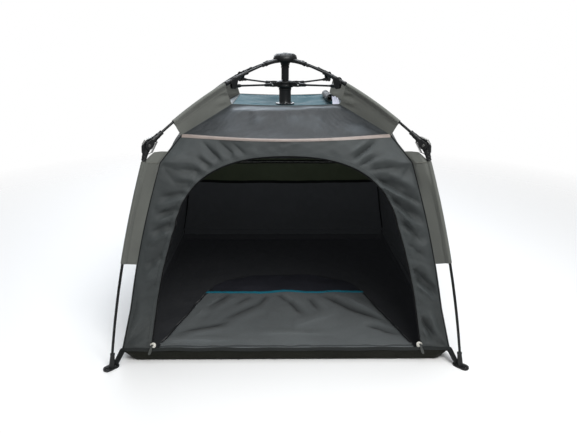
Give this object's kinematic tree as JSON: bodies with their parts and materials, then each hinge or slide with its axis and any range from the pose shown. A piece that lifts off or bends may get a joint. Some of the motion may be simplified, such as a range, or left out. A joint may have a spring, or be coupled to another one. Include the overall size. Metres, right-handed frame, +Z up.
{
  "type": "pop-up pet tent",
  "caption": "Square pop-up pet tent: fabric cabin with an arched doorway and a fold-down door flap, hung inside a bowed folding pole frame with a centre hub.",
  "frame": {"origin": "on the ground under the middle of the square floor", "axes": "+Z up, the doorway faces -Y, +X to the right of someone who looks into the doorway"},
  "size_m": [0.9904, 0.9904, 0.804],
  "materials": {
    "cabin_cloth": "dark grey coated polyester",
    "roof_cloth": "dusty teal coated polyester",
    "olive_cloth": "olive grey polyester",
    "screen_mesh": "dark olive insect mesh",
    "tub_cloth": "black coated groundsheet",
    "webbing": "black woven webbing",
    "black_plastic": "moulded satin black",
    "rod_fibre": "black fibreglass rod",
    "slider_plastic": "cream zip slider",
    "tab_cloth": "grey tape pull"
  },
  "bodies": {
    "tent": {"floor": "tub_cloth", "front_wall_left": "cabin_cloth", "front_wall_right": "cabin_cloth", "front_wall_head": "cabin_cloth", "left_wall": "cabin_cloth", "right_wall": "cabin_cloth", "back_wall_lower": "cabin_cloth", "back_window": "screen_mesh", "back_wall_upper": "cabin_cloth", "roof_slope_front": "cabin_cloth", "roof_slope_right": "cabin_cloth", "roof_slope_back": "cabin_cloth", "roof_slope_left": "cabin_cloth", "roof_top": "roof_cloth", "roof_cover_roll": "cabin_cloth", "zip_slider_left": "slider_plastic", "zip_slider_right": "slider_plastic", "hub_cap": "black_plastic", "hub_upper_tube": "rod_fibre", "hub_runner": "black_plastic", "hub_lower_tube": "black_plastic", "upper_pole_front_left": "rod_fibre", "upper_pole_front_right": "rod_fibre", "upper_pole_back_right": "rod_fibre", "upper_pole_back_left": "rod_fibre", "strut_front_left": "rod_fibre", "strut_front_right": "rod_fibre", "strut_back_right": "rod_fibre", "strut_back_left": "rod_fibre", "knee_front_left": "black_plastic", "knee_front_right": "black_plastic", "knee_back_right": "black_plastic", "knee_back_left": "black_plastic", "leg_front_left": "rod_fibre", "leg_front_right": "rod_fibre", "leg_back_right": "rod_fibre", "leg_back_left": "rod_fibre", "foot_front_left": "black_plastic", "foot_front_right": "black_plastic", "foot_back_right": "black_plastic", "foot_back_left": "black_plastic", "foot_strap_front_left": "webbing", "foot_strap_front_right": "webbing", "foot_strap_back_right": "webbing", "foot_strap_back_left": "webbing", "upper_wing_front_left": "olive_cloth", "upper_wing_front_right": "olive_cloth", "upper_wing_back_right": "olive_cloth", "upper_wing_back_left": "olive_cloth", "lower_wing_front_left": "olive_cloth", "lower_wing_front_right": "olive_cloth", "lower_wing_back_right": "olive_cloth", "lower_wing_back_left": "olive_cloth"},
    "door_flap": {"door": "cabin_cloth"},
    "left_pull": {"zip_tab_left": "tab_cloth"},
    "right_pull": {"zip_tab_right": "tab_cloth"}
  },
  "joints": [
    {"name": "door_fold", "type": "hinge", "parent": "tent", "child": "door_flap", "pos_m": [0, -0.44703, 0.04], "axis": [1, 0, 0], "range_deg": [0, 80.7]},
    {"name": "left_pull_swing", "type": "hinge", "parent": "tent", "child": "left_pull", "pos_m": [-0.366, -0.45421, 0.05655], "axis": [-1, 0, 0], "range_deg": [0, 150]},
    {"name": "right_pull_swing", "type": "hinge", "parent": "tent", "child": "right_pull", "pos_m": [0.366, -0.45421, 0.05655], "axis": [-1, 0, 0], "range_deg": [0, 150]}
  ]
}
